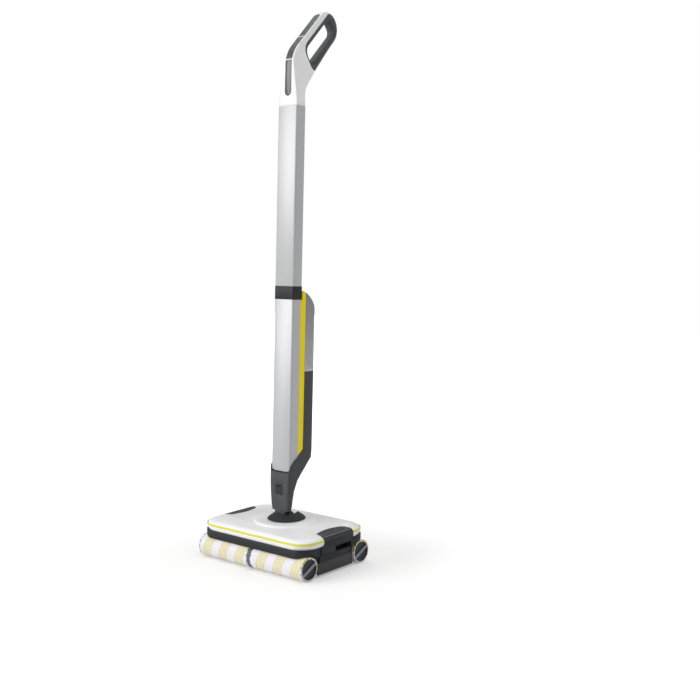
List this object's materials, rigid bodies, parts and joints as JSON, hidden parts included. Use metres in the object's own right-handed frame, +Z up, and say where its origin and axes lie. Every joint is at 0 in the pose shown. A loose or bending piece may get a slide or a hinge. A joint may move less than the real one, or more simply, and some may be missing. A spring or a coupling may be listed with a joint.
{
  "type": "upright wet floor scrubber",
  "caption": "Upright wet floor scrubber: low head with powered microfibre rollers, slide-out dirty tanks, swivel foot, slim pole with fresh water tank and looped handle.",
  "frame": {"origin": "on the floor under the middle of the head, where the two rows of rollers stand", "axes": "+X to the right along the rollers, -Y forward, +Z up; the pole leans back toward +Y"},
  "size_m": [0.3166, 0.2971, 1.2187],
  "materials": {
    "cover_white": "smooth white moulded shell",
    "stripe_yellow": "smooth pale yellow strip",
    "body_dark": "fine-grained near-black",
    "body_graphite": "fine-grained dark grey",
    "pole_silver": "fine silver paint",
    "frame_yellow": "smooth yellow",
    "roller_pile": "short microfibre pile with spiral yellow stripes",
    "tank_smoke": "smoky translucent",
    "tank_grey": "grey moulded tank",
    "gear_white": "low-friction white",
    "ring_green": "dark green-black",
    "steel": "turned",
    "contact_brass": "plated",
    "wiper_rubber": "soft",
    "grip_rubber": "soft-touch",
    "strip_grey": "glossy dark grey",
    "board_green": "solder mask",
    "hose_grey": "flexible tube",
    "cell_blue": "shrink wrap",
    "clear_grey": "moulded water channel"
  },
  "bodies": {
    "head": {"head_chassis": "body_dark", "underbody_plate": "body_graphite", "head_cover": "cover_white", "trim_stripe": "stripe_yellow", "wiper_blades": "wiper_rubber", "water_bars": "clear_grey", "drive_motor": "body_graphite", "gear_case": "ring_green", "gear_case_lid": "ring_green", "shaft_bearings": "steel", "idler_pins": "steel", "head_screws": "steel", "charge_contacts": "contact_brass"},
    "front_drive": {"front_shaft": "steel", "front_gear": "steel"},
    "rear_drive": {"rear_shaft": "steel", "rear_gear": "steel"},
    "motor": {"motor_rotor": "steel", "motor_pinion": "steel"},
    "front_idler_wheel": {"front_idler": "gear_white"},
    "rear_inner_wheel": {"rear_idler_inner": "gear_white"},
    "rear_outer_wheel": {"rear_idler_outer": "gear_white"},
    "front_left_roller": {"front_left_core": "body_graphite", "front_left_pile": "roller_pile", "front_left_cap": "body_graphite"},
    "front_right_roller": {"front_right_core": "body_graphite", "front_right_pile": "roller_pile", "front_right_cap": "body_graphite"},
    "rear_left_roller": {"rear_left_core": "body_graphite", "rear_left_pile": "roller_pile", "rear_left_cap": "body_graphite"},
    "rear_right_roller": {"rear_right_core": "body_graphite", "rear_right_pile": "roller_pile", "rear_right_cap": "body_graphite"},
    "dirty_tank_unit_left": {"dirty_tank_left": "tank_grey", "tank_grip_left": "body_dark"},
    "dirty_tank_unit_right": {"dirty_tank_right": "tank_grey", "tank_grip_right": "body_dark"},
    "swivel": {"swivel_yoke": "body_dark", "hinge_pin": "steel", "swivel_retainer": "steel"},
    "pole": {"neck_housing": "body_graphite", "front_shell": "pole_silver", "side_frame": "frame_yellow", "pole_coupling": "body_graphite", "upper_tube": "pole_silver", "battery_pack": "cell_blue", "water_pump": "body_graphite", "water_hose": "hose_grey", "control_board": "board_green", "handle_shell": "cover_white", "handle_grip": "grip_rubber", "status_display": "strip_grey"},
    "power_key": {"power_button": "strip_grey"},
    "boost_key": {"boost_button": "strip_grey"},
    "tank_release_key": {"tank_release": "body_dark"},
    "neck_key": {"neck_button": "wiper_rubber"},
    "fresh_tank_unit": {"fresh_tank": "tank_smoke"},
    "fresh_tank_cap": {"tank_cap": "frame_yellow", "tank_valve": "wiper_rubber"}
  },
  "joints": [
    {"name": "front_drive_spin", "type": "hinge", "parent": "head", "child": "front_drive", "pos_m": [0, -0.086, 0.026], "axis": [1, 0, 0], "continuous": true},
    {"name": "rear_drive_spin", "type": "hinge", "parent": "head", "child": "rear_drive", "pos_m": [0, 0.086, 0.026], "axis": [1, 0, 0], "continuous": true},
    {"name": "motor_spin", "type": "hinge", "parent": "head", "child": "motor", "pos_m": [0, -0.02, 0.033], "axis": [1, 0, 0], "continuous": true},
    {"name": "front_idler_spin", "type": "hinge", "parent": "head", "child": "front_idler_wheel", "pos_m": [0, -0.04913, 0.03656], "axis": [1, 0, 0], "continuous": true},
    {"name": "rear_inner_spin", "type": "hinge", "parent": "head", "child": "rear_inner_wheel", "pos_m": [0, 0.00933, 0.03402], "axis": [1, 0, 0], "continuous": true},
    {"name": "rear_outer_spin", "type": "hinge", "parent": "head", "child": "rear_outer_wheel", "pos_m": [0, 0.0497, 0.03837], "axis": [1, 0, 0], "continuous": true},
    {"name": "front_left_roller_pull", "type": "slide", "parent": "front_drive", "child": "front_left_roller", "axis": [-1, 0, 0], "range_m": [0, 0.16]},
    {"name": "front_right_roller_pull", "type": "slide", "parent": "front_drive", "child": "front_right_roller", "axis": [1, 0, 0], "range_m": [0, 0.16]},
    {"name": "rear_left_roller_pull", "type": "slide", "parent": "rear_drive", "child": "rear_left_roller", "axis": [-1, 0, 0], "range_m": [0, 0.16]},
    {"name": "rear_right_roller_pull", "type": "slide", "parent": "rear_drive", "child": "rear_right_roller", "axis": [1, 0, 0], "range_m": [0, 0.16]},
    {"name": "dirty_tank_left_slide", "type": "slide", "parent": "head", "child": "dirty_tank_unit_left", "axis": [-1, 0, 0], "range_m": [0, 0.125]},
    {"name": "dirty_tank_right_slide", "type": "slide", "parent": "head", "child": "dirty_tank_unit_right", "axis": [1, 0, 0], "range_m": [0, 0.125]},
    {"name": "foot_swivel", "type": "hinge", "parent": "head", "child": "swivel", "pos_m": [0, 0.0113, 0.0913], "axis": [0, 0, 1], "range_deg": [-90, 90]},
    {"name": "pole_tilt", "type": "hinge", "parent": "swivel", "child": "pole", "pos_m": [0, -0.00265, 0.10096], "axis": [-1, 0, 0], "range_deg": [0, 62]},
    {"name": "power_press", "type": "slide", "parent": "pole", "child": "power_key", "axis": [0, 0.9239, -0.3827], "range_m": [0, 0.0012], "stiffness_N_per_m": 800},
    {"name": "boost_press", "type": "slide", "parent": "pole", "child": "boost_key", "axis": [0, 0.7071, -0.7071], "range_m": [0, 0.0012], "stiffness_N_per_m": 800},
    {"name": "tank_release_press", "type": "slide", "parent": "pole", "child": "tank_release_key", "axis": [0, -0.9992, 0.041], "range_m": [0, 0.0015], "stiffness_N_per_m": 800},
    {"name": "neck_lock_press", "type": "slide", "parent": "pole", "child": "neck_key", "axis": [0, 0.9992, -0.041], "range_m": [0, 0.0015], "stiffness_N_per_m": 800},
    {"name": "fresh_tank_lift", "type": "slide", "parent": "pole", "child": "fresh_tank_unit", "axis": [0, 0.041, 0.9992], "range_m": [0, 0.12]},
    {"name": "tank_cap_turn", "type": "hinge", "parent": "fresh_tank_unit", "child": "fresh_tank_cap", "pos_m": [0, 0.06278, 0.41014], "axis": [0, 0.041, 0.9992], "range_deg": [0, 90]}
  ],
  "couplings": [
    {"joint": "rear_drive_spin", "follows": "front_drive_spin", "ratio": -1},
    {"joint": "motor_spin", "follows": "front_drive_spin", "ratio": 2},
    {"joint": "front_idler_spin", "follows": "front_drive_spin", "ratio": -0.88889},
    {"joint": "rear_inner_spin", "follows": "front_drive_spin", "ratio": -0.88889},
    {"joint": "rear_outer_spin", "follows": "front_drive_spin", "ratio": 0.88889}
  ]
}
